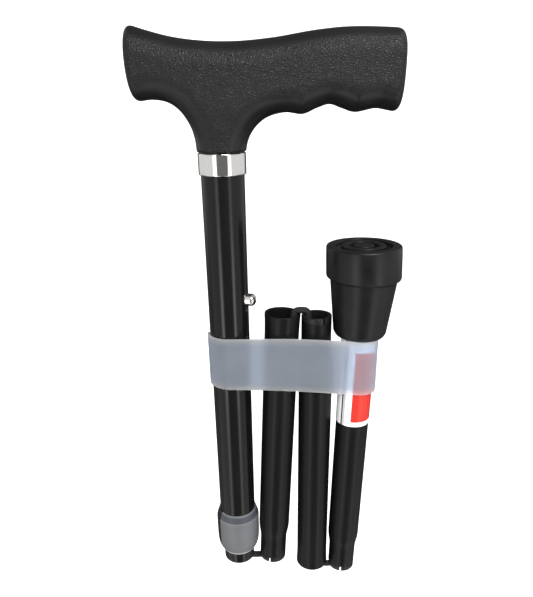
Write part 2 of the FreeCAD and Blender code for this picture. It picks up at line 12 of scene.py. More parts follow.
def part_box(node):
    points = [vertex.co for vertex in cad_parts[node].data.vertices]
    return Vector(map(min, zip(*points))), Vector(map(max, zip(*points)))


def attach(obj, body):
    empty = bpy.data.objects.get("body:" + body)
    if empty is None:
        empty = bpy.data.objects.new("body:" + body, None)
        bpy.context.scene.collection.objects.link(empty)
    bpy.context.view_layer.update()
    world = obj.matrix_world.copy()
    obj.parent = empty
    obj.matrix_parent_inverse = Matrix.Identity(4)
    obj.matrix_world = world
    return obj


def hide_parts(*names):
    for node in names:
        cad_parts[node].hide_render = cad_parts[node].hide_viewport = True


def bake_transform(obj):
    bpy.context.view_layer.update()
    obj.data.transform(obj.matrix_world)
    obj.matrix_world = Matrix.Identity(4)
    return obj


MM = 0.001
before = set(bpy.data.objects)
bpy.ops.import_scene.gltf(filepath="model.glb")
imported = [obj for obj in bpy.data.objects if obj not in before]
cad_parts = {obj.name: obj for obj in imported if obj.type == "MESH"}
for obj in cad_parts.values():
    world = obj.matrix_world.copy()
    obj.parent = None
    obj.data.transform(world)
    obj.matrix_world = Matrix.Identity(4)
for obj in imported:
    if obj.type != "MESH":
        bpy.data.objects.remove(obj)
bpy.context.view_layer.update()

# ---------------------------------------------------------------- places, as the CAD model has them

SHAFT_X = (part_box("outer_tube")[0].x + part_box("outer_tube")[1].x) / 2 / MM


def section_frame(offset, foot_z, lean):
    """Frame of a folding section in mm: origin at its foot, Z along the tube."""
    return (Matrix.Translation((SHAFT_X + offset, 0, foot_z))
            @ Matrix.Rotation(math.radians(lean), 4, "Y"))


UPPER_RADIUS = 11.1
TUBE_RADIUS, TUBE_BORE = 9.8, 8.6
SPIGOT_RADIUS, SPIGOT_BORE, SPIGOT_LENGTH = 8.5, 7.3, 18.5
THIRD_OFFSET, THIRD_FOOT = 48.95, 5.73
FOURTH_OFFSET, FOURTH_FOOT, FOURTH_LEAN = 68.9, 2.92, 1.5
LABEL_WALL = 0.15

SHAFT = Matrix.Translation((SHAFT_X, 0, 0))
SECOND = section_frame(22.53, 11.5, 2.436)
THIRD = section_frame(THIRD_OFFSET, THIRD_FOOT, 0)
FOURTH = section_frame(FOURTH_OFFSET, FOURTH_FOOT, FOURTH_LEAN)
SECOND_LENGTH, THIRD_LENGTH, FOURTH_LENGTH = 173.5, 177.6, 206.0
THIRD_DOWN = THIRD @ Matrix.Translation((0, 0, THIRD_LENGTH)) @ Matrix.Rotation(math.pi, 4, "X")

# ---------------------------------------------------------------- node materials


class Finish:
    """A material and its node tree, with short calls for the few nodes used here."""

    def __init__(self, name):
        self.material = bpy.data.materials.new(name)
        self.material.use_nodes = True
        self.tree = self.material.node_tree
        self.tree.nodes.clear()
        self.shader = self.add("ShaderNodeBsdfPrincipled")
        output = self.add("ShaderNodeOutputMaterial")
        self.tree.links.new(self.shader.outputs[0], output.inputs[0])
        self.space = self.add("ShaderNodeTexCoord").outputs["Object"]

    def add(self, kind, **settings):
        node = self.tree.nodes.new(kind)
        for key, value in settings.items():
            setattr(node, key, value)
        return node

    def put(self, node, **values):
        """Sets or links inputs. An underscore in a name stands for a space, and i7 for input number 7."""
        for key, value in values.items():
            socket = node.inputs[int(key[1:])] if key[0] == "i" and key[1:].isdigit() \
                else node.inputs[key.replace("_", " ")]
            if isinstance(value, bpy.types.NodeSocket):
                self.tree.links.new(value, socket)
            else:
                socket.default_value = value
        return node

    def noise(self, scale, detail=3.0, rough=0.5, vector=None):
        node = self.add("ShaderNodeTexNoise")
        self.put(node, Vector=vector or self.space, Scale=scale, Detail=detail, Roughness=rough)
        return node.outputs["Fac"]

    def scaled(self, x, y, z):
        node = self.add("ShaderNodeMapping")
        self.put(node, Vector=self.space, Scale=(x, y, z))
        return node.outputs[0]

    def axes(self):
        """The object's own x, y and z, in metres."""
        node = self.add("ShaderNodeSeparateXYZ")
        return self.put(node, Vector=self.space).outputs

    def ramp(self, factor, *stops):
        node = self.add("ShaderNodeValToRGB")
        self.put(node, Fac=factor)
        elements = node.color_ramp.elements
        while len(elements) < len(stops):
            elements.new(0.5)
        for element, (place, colour) in zip(elements, stops):
            element.position = place
            element.color = (*colour, 1) if len(colour) == 3 else colour
        return node.outputs["Color"]

    def fit(self, value, low, high, start=0.0, end=1.0):
        node = self.add("ShaderNodeMapRange")
        self.put(node, Value=value, From_Min=low, From_Max=high, To_Min=start, To_Max=end)
        return node.outputs[0]

    def math(self, operation, *values):
        node = self.add("ShaderNodeMath", operation=operation)
        self.put(node, **{f"i{n}": value for n, value in enumerate(values)})
        return node.outputs[0]

    def bump(self, height, depth, strength=1.0, under=None):
        node = self.add("ShaderNodeBump")
        self.put(node, Height=height, Distance=depth, Strength=strength)
        if under is not None:
            self.put(node, Normal=under)
        return node.outputs[0]

    def mix(self, factor, first, second):
        node = self.add("ShaderNodeMix", data_type="RGBA")
        self.put(node, i0=factor, i6=first, i7=second)
        return node.outputs[2]

    def done(self, **values):
        self.put(self.shader, **values)
        return self.material


def grey(value):
    return (value, value, value)


def handle_material():
    look = Finish("grained_black_plastic")
    panel = look.add("ShaderNodeAttribute", attribute_name="panel").outputs["Fac"]
    warp = look.add("ShaderNodeMixRGB", blend_type="ADD")
    look.put(warp, Fac=0.0020, Color1=look.scaled(1, 1, 1.35))
    wave = look.add("ShaderNodeTexNoise")
    look.put(wave, Vector=look.space, Scale=380.0, Detail=2.0)
    look.put(warp, Color2=wave.outputs["Color"])
    cells = look.add("ShaderNodeTexVoronoi", feature="DISTANCE_TO_EDGE")
    look.put(cells, Vector=warp.outputs[0], Scale=760.0, Randomness=1.0)
    pillow = look.fit(cells.outputs["Distance"], 0.02, 0.36)
    grain = look.math("MULTIPLY", pillow, panel)
    fine = look.noise(5200.0, 2.0)
    relief = look.bump(grain, 0.00015, 1.0, look.bump(fine, 0.00001, 0.3))
    tone = look.noise(60.0, 3.0)
    body = look.ramp(tone, (0.3, grey(0.006)), (0.7, grey(0.009)))
    # painted shade: the grain's creases are coloured darker, and the same mask makes them rougher
    crease = look.math("MULTIPLY", look.math("SUBTRACT", 1.0, pillow), panel)
    colour = look.mix(crease, body, (0.004, 0.004, 0.004, 1))
    rough = look.fit(tone, 0.3, 0.7, 0.29, 0.35)
    return look.done(Base_Color=colour, Roughness=look.math("MULTIPLY_ADD", crease, 0.3, rough),
                     Normal=relief, Specular_IOR_Level=0.35)


def tube_material(name="gloss_black_tube", low=0.14, high=0.2, shine=0.27, bore=None):
    """Black anodised tube. Where bore is given, the wall inside that radius is matt."""
    look = Finish(name)
    streak = look.noise(180.0, 3.0, vector=look.scaled(1, 1, 0.05))
    colour = look.ramp(streak, (0.35, (0.0045, 0.0042, 0.004)), (0.7, (0.0065, 0.0062, 0.006)))
    peel = look.noise(700.0, 2.0)
    rough = look.fit(streak, 0.3, 0.7, low, high)
    if bore:
        x, y, _ = look.axes()
        across = look.math("SUBTRACT", x, SHAFT_X * MM)
        radius = look.math("SQRT", look.math("ADD", look.math("MULTIPLY", across, across),
                                             look.math("MULTIPLY", y, y)))
        rough = look.math("MAXIMUM", rough, look.fit(radius, bore, bore - 0.0001, 0, 1))
    return look.done(Base_Color=colour, Roughness=rough, Specular_IOR_Level=shine,
                     Normal=look.bump(peel, 0.00002, 0.25))


def chrome_material(name="bright_chrome", tint=(0.86, 0.85, 0.83), low=0.05, high=0.11):
    look = Finish(name)
    haze = look.noise(260.0, 4.0)
    brushed = look.noise(900.0, 2.0, vector=look.scaled(0.1, 0.1, 1))
    colour = look.ramp(haze, (0.3, tint), (0.75, tuple(c * 0.93 for c in tint)))
    return look.done(Base_Color=colour, Metallic=1.0, Roughness=look.fit(haze, 0.3, 0.7, low, high),
                     Normal=look.bump(brushed, 0.00001, 0.15))


def rubber_material():
    look = Finish("matte_black_rubber")
    tone = look.noise(90.0, 5.0, 0.6)
    grit = look.noise(2600.0, 3.0)
    colour = look.ramp(tone, (0.3, grey(0.005)), (0.75, grey(0.009)))
    return look.done(Base_Color=colour, Roughness=look.fit(tone, 0.3, 0.7, 0.3, 0.4),
                     Specular_IOR_Level=0.25, Normal=look.bump(grit, 0.00004, 0.3))


def sleeve_material():
    """Milky plastic over the dark tube: painted shade darkens the bevel, painted highlight lightens the
    foot rim and a thin line under the bevel, and a black strip runs down its side.
    """
    look = Finish("clear_grey_sleeve")
    cloud = look.noise(70.0, 3.0)
    body = look.ramp(cloud, (0.3, (0.098, 0.100, 0.107)), (0.7, (0.115, 0.117, 0.124)))
    x, y, z = look.axes()
    # painted shade: the top bevel is coloured darker and bluer than the body
    bevel_shade = look.math("MULTIPLY", look.fit(z, 0.0474, 0.0480, 0.0, 0.8),
                      look.fit(z, 0.0518, 0.0514))
    # painted highlight: the foot rim and a thin line just under the bevel are coloured paler, as the glow
    # at the plastic's edges
    foot_rim_glow = look.fit(z, 0.0236, 0.0224, 0.0, 0.8)
    line = look.math("COMPARE", z, 0.0473, 0.0005)
    pale = look.math("MAXIMUM", look.math("MULTIPLY", line, 0.08), foot_rim_glow)
    colour = look.mix(bevel_shade, body, (0.034, 0.037, 0.052, 1))
    colour = look.mix(pale, colour, (0.42, 0.42, 0.43, 1))
    turn = look.math("ARCTAN2", y, look.math("SUBTRACT", x, SHAFT_X * MM))
    strip = look.math("MULTIPLY", look.math("COMPARE", turn, math.radians(-158), math.radians(13)),
                      look.math("COMPARE", z, 0.0405, 0.0125))
    colour = look.mix(strip, colour, (0.004, 0.004, 0.004, 1))
    return look.done(Base_Color=colour, Roughness=look.fit(cloud, 0.3, 0.7, 0.42, 0.5),
                     Normal=look.bump(look.noise(1500.0, 2.0), 0.00001, 0.1),
                     Specular_IOR_Level=0.4)


def band_material():
    look = Finish("frosted_band")
    cloud = look.noise(120.0, 4.0)
    rim = look.add("ShaderNodeAttribute", attribute_name="rim").outputs["Fac"]
    film = look.ramp(cloud, (0.3, (0.72, 0.79, 0.90)), (0.7, (0.78, 0.84, 0.94)))
    # painted highlight: the strap's rounded edges, marked rim, are coloured white
    colour = look.mix(rim, film, (1, 1, 1, 1))
    return look.done(Base_Color=colour, Roughness=look.fit(cloud, 0.3, 0.7, 0.56, 0.64),
                     Normal=look.bump(look.noise(2400.0, 3.0), 0.00003, 0.35),
                     Transmission_Weight=0.88, IOR=1.3)


def label_material():
    look = Finish("printed_label")
    turn, height = (look.add("ShaderNodeAttribute", attribute_name=n).outputs["Fac"]
                    for n in ("turn", "height"))

    def inside(value, low, high):
        return look.math("MULTIPLY", look.math("GREATER_THAN", value, low),
                         look.math("LESS_THAN", value, high))

    bar = look.math("MULTIPLY", inside(turn, 32.0, 126.0), inside(height, 3.0, 47.5))
    edge = look.math("LESS_THAN", turn, 9.0)
    speck = look.noise(900.0, 4.0)
    paper = look.ramp(speck, (0.3, grey(0.86)), (0.7, grey(0.92)))
    ink = look.ramp(speck, (0.3, (0.50, 0.014, 0.006)), (0.7, (0.56, 0.02, 0.008)))
    base = look.mix(edge, look.mix(bar, paper, ink), (0.5, 0.5, 0.51, 1))
    return look.done(Base_Color=base, Roughness=look.fit(speck, 0.3, 0.7, 0.30, 0.42),
                     Normal=look.bump(speck, 0.00001, 0.2))


def cord_material():
    look = Finish("woven_elastic_cord")
    strand = look.add("ShaderNodeTexWave", wave_type="BANDS", bands_direction="DIAGONAL")
    look.put(strand, Vector=look.space, Scale=420.0, Distortion=1.0)
    colour = look.ramp(strand.outputs["Fac"], (0.2, grey(0.004)), (0.8, grey(0.016)))
    return look.done(Base_Color=colour, Roughness=look.fit(strand.outputs["Fac"], 0, 1, 0.85, 0.7),
                     Normal=look.bump(strand.outputs["Fac"], 0.00025, 0.8))


def ring_material():
    look = Finish("black_nylon")
    tone = look.noise(300.0, 3.0)
    return look.done(Base_Color=look.ramp(tone, (0.3, grey(0.005)), (0.7, grey(0.009))),
                     Specular_IOR_Level=0.35,
                     Roughness=look.fit(tone, 0.3, 0.7, 0.35, 0.5),
                     Normal=look.bump(look.noise(1800.0), 0.00003, 0.3))


# ---------------------------------------------------------------- mesh helpers


def piece(name, points, faces, material, body, nodes=(), place=None, sharp=35):
    """Makes a mesh piece from points in mm, rides it on its body and hides the nodes it replaces."""
    mesh = bpy.data.meshes.new(name)
    mesh.from_pydata([tuple(p) for p in np.asarray(points, float) * MM], [], faces)
    if place is not None:
        metres = place.copy()
        metres.translation = place.translation * MM
        mesh.transform(metres)
    mesh.validate()
    mesh.shade_smooth()
    if sharp:
        mesh.set_sharp_from_angle(angle=math.radians(sharp))
    mesh.materials.append(material)
    obj = bpy.data.objects.new(name, mesh)
    bpy.context.scene.collection.objects.link(obj)
    if body:
        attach(obj, body)
    if nodes:
        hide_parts(*nodes)
    return obj


def rounded(corners, steps=4):
    """Closed outline with each corner that gives a fillet, as (radius, height, fillet), rounded off."""
    outline = []
    for index, corner in enumerate(corners):
        here = np.array(corner[:2], float)
        fillet = corner[2] if len(corner) > 2 else 0
        if not fillet:
            outline.append(tuple(here))
            continue
        before = np.array(corners[index - 1][:2], float) - here
        after = np.array(corners[(index + 1) % len(corners)][:2], float) - here
        reach_before = min(fillet, 0.49 * np.linalg.norm(before))
        reach_after = min(fillet, 0.49 * np.linalg.norm(after))
        start = here + before / np.linalg.norm(before) * reach_before
        end = here + after / np.linalg.norm(after) * reach_after
        for t in np.linspace(0, 1, steps + 1):
            outline.append(tuple((1 - t) ** 2 * start + 2 * t * (1 - t) * here + t * t * end))
    return outline


def lathe(outline, segments=96):
    """Turns a closed (radius, height) outline about Z. Points on the axis become one vertex."""
    points, rings = [], []
    for radius, height in outline:
        if abs(radius) < 1e-6:
            rings.append([len(points)])
            points.append((0, 0, height))
            continue
        rings.append(list(range(len(points), len(points) + segments)))
        for step in range(segments):
            angle = 2 * math.pi * step / segments
            points.append((radius * math.cos(angle), radius * math.sin(angle), height))
    faces = []
    for index, ring in enumerate(rings):
        other = rings[(index + 1) % len(rings)]
        if len(ring) == 1 and len(other) == 1:
            continue
        for step in range(segments):
            following = (step + 1) % segments
            if len(ring) == 1:
                faces.append((ring[0], other[following], other[step]))
            elif len(other) == 1:
                faces.append((ring[step], ring[following], other[0]))
            else:
                faces.append((ring[step], ring[following], other[following], other[step]))
    return points, faces


def turn_outward(mesh):
    """Turns the faces' normals to the outside."""
    work = bmesh.new()
    work.from_mesh(mesh)
    bmesh.ops.recalc_face_normals(work, faces=work.faces)
    work.to_mesh(mesh)
    work.free()


def outward(obj):
    turn_outward(obj.data)
    return obj


def mark(obj, name, values):
    """Stores one number on each vertex, for the piece's material."""
    layer = obj.data.attributes.new(name, "FLOAT", "POINT")
    layer.data.foreach_set("value", np.array(values, np.float32))


def turned(name, corners, material, body, nodes, place, segments=96):
    points, faces = lathe(rounded(corners), segments)
    return outward(piece(name, points, faces, material, body, nodes, place))


def open_ring(outline, arcs, segments=72):
    """Turns an outline about Z through each (start, end) arc in degrees, with flat ends."""
    points, faces = [], []
    wide = len(outline)
    for start, end in arcs:
        base = len(points)
        count = max(3, int(segments * (end - start) / 360))
        for angle in np.radians(np.linspace(start, end, count + 1)):
            points += [(r * math.cos(angle), r * math.sin(angle), h) for r, h in outline]
        for column in range(count):
            a, b = base + column * wide, base + (column + 1) * wide
            for row in range(wide):
                after = (row + 1) % wide
                faces.append((a + row, b + row, b + after, a + after))
        faces.append(tuple(range(base, base + wide)))
        faces.append(tuple(range(base + count * wide, base + (count + 1) * wide))[::-1])
    return points, faces


def cut_holes(obj, tools):
    """Takes the joined tool meshes out of a piece."""
    drill = bpy.data.objects.new("drill", tools)
    bpy.context.scene.collection.objects.link(drill)
    modifier = obj.modifiers.new("holes", "BOOLEAN")
    modifier.operation, modifier.object, modifier.solver = "DIFFERENCE", drill, "EXACT"
    bpy.context.view_layer.update()
    shape = bpy.data.meshes.new_from_object(
        obj.evaluated_get(bpy.context.evaluated_depsgraph_get()))
    obj.modifiers.clear()
    old = obj.data
    shape.name = old.name
    obj.data = shape
    bpy.data.meshes.remove(old)
    bpy.data.objects.remove(drill)
    bpy.data.meshes.remove(tools)


def tube_along(path, radius, segments=20):
    """Round tube on a list of points, with flat ends."""
    path = [Vector(p) for p in path]
    points, faces = [], []
    side = Vector((0, 1, 0))
    rings = []
    for index, centre in enumerate(path):
        ahead = path[min(index + 1, len(path) - 1)] - path[max(index - 1, 0)]
        ahead.normalize()
        side = (side - ahead * side.dot(ahead)).normalized()
        other = ahead.cross(side)
        rings.append(len(points))
        for step in range(segments):
            angle = 2 * math.pi * step / segments
            points.append(centre + (side * math.cos(angle) + other * math.sin(angle)) * radius)
    for start, after in zip(rings, rings[1:]):
        for step in range(segments):
            following = (step + 1) % segments
            faces.append((start + step, start + following, after + following, after + step))
    faces.append(tuple(range(segments))[::-1])
    faces.append(tuple(range(rings[-1], rings[-1] + segments)))
    return points, faces


def catmull(points, steps=10):
    """Smooth line through the given points."""
    points = [np.array(p, float) for p in points]
    padded = [2 * points[0] - points[1], *points, 2 * points[-1] - points[-2]]
    line = []
    for a, b, c, d in zip(padded, padded[1:], padded[2:], padded[3:]):
        for t in np.arange(steps) / steps:
            line.append(0.5 * (2 * b + (c - a) * t + (2 * a - 5 * b + 4 * c - d) * t * t
                               + (3 * b - a - 3 * c + d) * t ** 3))
    line.append(points[-1])
    return np.array(line)


# ---------------------------------------------------------------- handle

# side view of the grip, along the bar from the shaft's axis, in mm
GRIP_TOP = [(-50, 329.0), (-38.7, 325.1), (-22, 320.6), (-6, 318.5), (10, 318.2), (27, 319.5),
            (44, 321.9), (60, 323.2), (77, 322.9), (95, 321.6)]
GRIP_LEFT = [(-50, 293.0), (-39, 293.3), (-32, 293.9), (-25, 292.7), (-19.5, 289.1),
             (-15.2, 283.0), (-13.1, 277.0), (-12.4, 270.5), (-12.3, 262.0)]
GRIP_RIGHT = [(12.3, 262.0), (12.4, 270.5), (14.2, 276.8), (18.3, 282.2), (24, 285.8),
              (32, 287.4), (40, 286.5), (47, 289.1), (53, 290.7), (59, 288.8), (65.5, 287.0),
              (74.5, 288.5), (80, 287.8), (86, 286.6), (95, 286.0)]
ROUND_OFF = 11.6


def segment_distance(points, line):
    """Least distance from each 2-D point to a polyline."""
    best = np.full(len(points), 1e9)
    for start, end in zip(line, line[1:]):
        along = end - start
        t = np.clip(((points - start) @ along) / (along @ along), 0, 1)
        best = np.minimum(best, np.hypot(*(points - start - t[:, None] * along).T))
    return best


def inside_outline(points, outline):
    inside = np.zeros(len(points), bool)
    for (x0, z0), (x1, z1) in zip(outline, np.roll(outline, -1, 0)):
        crosses = (z0 > points[:, 1]) != (z1 > points[:, 1])
        if z0 != z1:
            at = x0 + (points[:, 1] - z0) * (x1 - x0) / (z1 - z0)
            inside ^= crosses & (points[:, 0] < at)
    return inside


def smooth_max(a, b, width):
    h = np.maximum(width - np.abs(a - b), 0) / width
    return np.maximum(a, b) + h * h * width / 4


def smoothstep(value, low, high):
    t = np.clip((value - low) / (high - low), 0, 1)
    return t * t * (3 - 2 * t)


class Grip:
    """Solid form of the handle, as a field that is negative inside."""

    def __init__(self):
        self.lines = [catmull(line) for line in (GRIP_TOP, GRIP_LEFT, GRIP_RIGHT)]
        top, left, right = self.lines
        self.outline = np.vstack([left, right, top[::-1]])

    def depth(self, flat):
        """Distance in from the grip's top and underside, in the side view."""
        distance = np.min([segment_distance(flat, line) for line in self.lines], axis=0)
        return np.where(inside_outline(flat, self.outline), distance, -distance)

    def field(self, points, depth=None):
        x, y, z = points.T
        if depth is None:
            depth = self.depth(points[:, [0, 2]])
        half = 12.4 + 2.2 * smoothstep(z, 270, 293) + 0.5 * smoothstep(x, 20, 60)
        rise = np.maximum(1 - depth / ROUND_OFF, 0)
        body = (np.sqrt((y / half) ** 2 + rise ** 2) - 1) * ROUND_OFF
        nose = (-42.4 + 0.0066 * (z - 311) ** 2 + 0.006 * y * y) - x
        palm = x - (87.2 - 0.003 * (z - 307) ** 2 - 0.006 * y * y)
        body = smooth_max(body, nose, 3.2)
        body = smooth_max(body, palm, 3.6)
        return smooth_max(body, 270.0 - z, 0.8)


def surface_net(values, origin, step):
    """Quads on the zero level of a sampled field, with one vertex in each cell that it crosses."""
    inside = values < 0
    shape = np.array(values.shape) - 1
    corners = [(i, j, k) for i in (0, 1) for j in (0, 1) for k in (0, 1)]

    def shifted(array, corner):
        return array[tuple(slice(c, c + n) for c, n in zip(corner, shape))]

    count = sum(shifted(inside, c).astype(int) for c in corners)
    mixed = (count > 0) & (count < 8)
    cells = np.argwhere(mixed)
    index = np.full(mixed.shape, -1)
    index[mixed] = np.arange(len(cells))
    total, hits = np.zeros((len(cells), 3)), np.zeros(len(cells))
    for a in corners:
        for axis in range(3):
            if a[axis]:
                continue
            b = tuple(c + (axis == k) for k, c in enumerate(a))
            first, second = shifted(values, a)[mixed], shifted(values, b)[mixed]
            cross = (first < 0) != (second < 0)
            t = np.where(cross, first / np.where(cross, first - second, 1), 0)
            place = np.array(a, float) + t[:, None] * (np.array(b) - np.array(a))
            total += np.where(cross[:, None], place, 0)
            hits += cross
    points = origin + step * (cells + total / hits[:, None])
    faces = []
    for axis in range(3):
        u, v = (axis + 1) % 3, (axis + 2) % 3
        low = tuple(slice(None, -1) if k == axis else slice(None) for k in range(3))
        high = tuple(slice(1, None) if k == axis else slice(None) for k in range(3))
        crossing = np.argwhere(inside[low] != inside[high])
        crossing = crossing[(crossing[:, u] > 0) & (crossing[:, v] > 0)
                            & (crossing[:, u] < values.shape[u] - 1)
                            & (crossing[:, v] < values.shape[v] - 1)]
        leaving = inside[tuple(crossing.T)]
        quad = []
        for du, dv in ((0, 0), (1, 0), (1, 1), (0, 1)):
            cell = crossing.copy()
            cell[:, u] -= du
            cell[:, v] -= dv
            quad.append(index[tuple(cell.T)])
        quad = np.array(quad).T
        quad[~leaving] = quad[~leaving][:, ::-1]
        faces.append(quad)
    return points, np.vstack(faces)


def make_handle(material):
    step = 0.8
    grip = Grip()
    low, high = np.array((-45.0, -18.0, 267.6)), np.array((90.0, 18.0, 328.0))
    axes = [np.arange(a, b + step, step) for a, b in zip(low, high)]
    x, z = np.meshgrid(axes[0], axes[2], indexing="ij")
    depth = grip.depth(np.column_stack([x.ravel(), z.ravel()])).reshape(x.shape)
    gx, gy, gz = np.meshgrid(*axes, indexing="ij")
    deep = np.repeat(depth[:, None, :], len(axes[1]), axis=1)
    field = grip.field(np.column_stack([g.ravel() for g in (gx, gy, gz)]), deep.ravel())
    points, faces = surface_net(field.reshape(gx.shape), low, step)
    nudge = 0.05
    for _ in range(3):
        # moves each point along the field's slope, onto its zero level
        value = grip.field(points)
        slope = np.column_stack([
            (grip.field(points + nudge * axis) - grip.field(points - nudge * axis)) / (2 * nudge)
            for axis in np.eye(3)])
        points = points - slope * (value / np.maximum((slope ** 2).sum(1), 0.05))[:, None]
    obj = piece("handle_shell", points, faces.tolist(), material, "handle_section",
                ["handle_grip"], SHAFT, sharp=0)
    flat = points[:, [0, 2]]
    top, left, right = (segment_distance(flat, line) for line in grip.lines)
    panel = smoothstep(top, 2.5, 7.0) * smoothstep(np.minimum(left, right), 6.0, 9.0)
    mark(obj, "panel", panel)


# ---------------------------------------------------------------- shaft pieces


BUTTON_Z, BUTTON_TURN, HOLE_PITCH = 193.8, -16.0, 25.4
BUTTON_PLACE = (SHAFT @ Matrix.Translation((0, 0, BUTTON_Z))
                @ Matrix.Rotation(math.radians(BUTTON_TURN), 4, "Z")
                @ Matrix.Rotation(math.radians(90), 4, "Y"))


def drill_mesh(drops):
    """Pins through the tube's wall on the button's side, one for each drop below the button."""
    low, high, radius = 6, 14, 3.5
    points, faces = [], []
    for drop in drops:
        more, sides = lathe([(0, low), (radius, low), (radius, high), (0, high)], 40)
        faces += [tuple(v + len(points) for v in face) for face in sides]
        points += [tuple(BUTTON_PLACE @ Vector((x + drop, y, z))) for x, y, z in more]
    mesh = bpy.data.meshes.new("drill")
    mesh.from_pydata([tuple(c * MM for c in p) for p in points], [], faces)
    turn_outward(mesh)
    return mesh


def make_outer_tube(material):
    bore, foot, top = 9.9, 26.0, 300.0
    wall = [(bore, foot, 0.2), (UPPER_RADIUS, foot, 0.4)]
    wall += [(UPPER_RADIUS, h) for h in range(30, 300, 6)]
    wall += [(UPPER_RADIUS, top, 0.4), (bore, top, 0.2)]
    wall += [(bore, h) for h in range(294, 30, -24)]
    obj = turned("upper_tube", wall, material, "handle_section", ["outer_tube"],
                 SHAFT, 128)
    cut_holes(obj, drill_mesh([HOLE_PITCH * n for n in range(5)]))


def make_collar(material):
    turned("bright_collar", [
        (11.14, 259.2), (12.1, 259.2, 0.6), (12.1, 269.6, 0.6), (11.14, 269.6)],
        material, "handle_section", ["chrome_collar"], SHAFT, 128)


def make_sleeve(material):
    turned("foot_sleeve", [
        (9.9, 20.8, 0.2), (10.7, 20.8, 0.5), (11.2, 21.6, 0.6), (12.5, 24.0, 1.5),
        (13.3, 27.3, 2.5), (13.6, 33, 4), (13.6, 46.6, 0.6), (13.2, 48.1, 1.2),
        (12.0, 51.9, 0.5), (11.6, 52.6, 0.3), (11.14, 52.6), (11.14, 25.7), (9.9, 25.7)],
        material, "handle_section", ["locking_sleeve"], SHAFT, 128)


def make_button(material):
    dome = [(3.4 * math.cos(a), 13.4 + 2.6 * math.sin(a)) for a in
            np.linspace(0, math.pi / 2, 13)[:-1]]
    turned("snap_pin", [
        (0, 6.2), (4.0, 6.2, 0.2), (4.0, 7.1, 0.2), (3.4, 7.1, 0.2), *dome, (0, 16.0)],
        material, "snap_button", ["snap_button"], BUTTON_PLACE, 64)


def make_inner_tube(material):
    obj = turned("sliding_tube", [
        (8.95, 12.5, 0.3), (TUBE_RADIUS, 12.5, 0.5), (TUBE_RADIUS, 185.0), (TUBE_RADIUS, 202.0),
        (TUBE_RADIUS, 224.0, 0.3), (TUBE_BORE, 224.0, 0.2), (TUBE_BORE, 202.0),
        (TUBE_BORE, 185.0), (TUBE_BORE, 13.5)],
        material, "inner_section", ["inner_tube"], SHAFT, 96)
    cut_holes(obj, drill_mesh([0]))


# a swaged spigot, above the ring that caps it: up its outside, and down its inside
SPIGOT_OUT = [(SPIGOT_BORE, 3.2, 0.2), (SPIGOT_RADIUS, 3.2, 0.3), (SPIGOT_RADIUS, 18.7, 3.4),
              (TUBE_RADIUS, 25.3, 3.4)]
SPIGOT_IN = [(TUBE_BORE, 26.5, 1.5), (SPIGOT_BORE, SPIGOT_LENGTH, 1)]


def flared_tube(name, length, material, body, node, place):
    """Section with a spigot at its foot and a mouth that flares for the next one's spigot."""
    turned(name, SPIGOT_OUT + [
        (TUBE_RADIUS, length - 10, 3), (9.95, length - 4, 2), (10.15, length - 1, 1),
        (10.1, length, 0.3), (9.2, length, 0.4), (8.95, length - 1, 0.5),
        (TUBE_BORE, length - 5, 2)] + SPIGOT_IN,
        material, body, [node], place)


def make_sections(material):
    flared_tube("second_tube", SECOND_LENGTH, material, "section_2", "section_2_tube", SECOND)
    flared_tube("third_tube", THIRD_LENGTH, material, "section_3", "section_3_tube", THIRD_DOWN)
    turned("fourth_tube", SPIGOT_OUT + [
        (TUBE_RADIUS, FOURTH_LENGTH, 0.3), (TUBE_BORE, FOURTH_LENGTH, 0.2)] + SPIGOT_IN,
        material, "section_4", ["section_4_tube"], FOURTH)


def make_rings(material):
    """Slit rings that cap the spigots; the last one has a gap for the cord too."""
    half_slit, half_gap = 4.2, 16
    outline = rounded([(6.8, 0, 0.2), (SPIGOT_RADIUS, 0, 0.35), (SPIGOT_RADIUS, 3.2, 0.15),
                       (SPIGOT_BORE, 3.2), (SPIGOT_BORE, 7.6, 0.2), (6.8, 7.6, 0.2)])
    for name, slit, place, body, gap in (
            ("ring_2", -107, SECOND, "section_2", None),
            ("ring_3", 66, THIRD_DOWN, "section_3", None),
            ("ring_4", -99, FOURTH, "section_4", 180)):
        start, end = slit + half_slit, slit + 360 - half_slit
        arcs = ([(start, end)] if gap is None
                else [(start, gap - half_gap), (gap + half_gap, end)])
        points, faces = open_ring(outline, arcs)
        outward(piece("slit_" + name, points, faces, material, body,
                      ["spigot_" + name], place))


def make_tip(material):
    """Ferrule. Its head stands a little upright, so that the tread faces straight up."""
    length, head, waist, head_shift = 51.1, 20.4, 32.6, 1.2
    place = FOURTH @ Matrix.Translation((0, 0, 168.2))
    socket, socket_depth, valley = 9.85, 39.4, length - 3.0
    points, faces = lathe(rounded([
        (socket, 0, 0.2), (13.2, 0, 1.0), (14.8, 2.2, 1.2), (18.25, waist, 0.25),
        (18.9, waist + 0.15, 0.3), (head, waist + 1.3, 0.9), (head - 0.1, length - 6, 1),
        (head - 0.3, length, 1.3), (0.75 * head, length, 0.5), (0.74 * head, valley, 0.8),
        (0.58 * head, valley, 0.8), (0.57 * head, length, 0.5), (0.40 * head, length, 0.5),
        (0.39 * head, valley, 0.6), (0.27 * head, valley, 0.6), (0.26 * head, length, 0.5),
        (0, length), (0, socket_depth), (socket, socket_depth)]), 128)
    points = np.array(points)
    radius = np.hypot(points[:, 0], points[:, 1])
    share = np.clip((points[:, 2] - waist) / (length - waist), 0, 1)
    share = np.where((radius > 10.5) | (points[:, 2] > 44), share, 0)
    points[:, 2] += share * points[:, 0] * math.tan(math.radians(FOURTH_LEAN))
    points[:, 0] -= share * head_shift
    outward(piece("ferrule", points, faces, material, "section_4", ["rubber_tip"],
                  place))


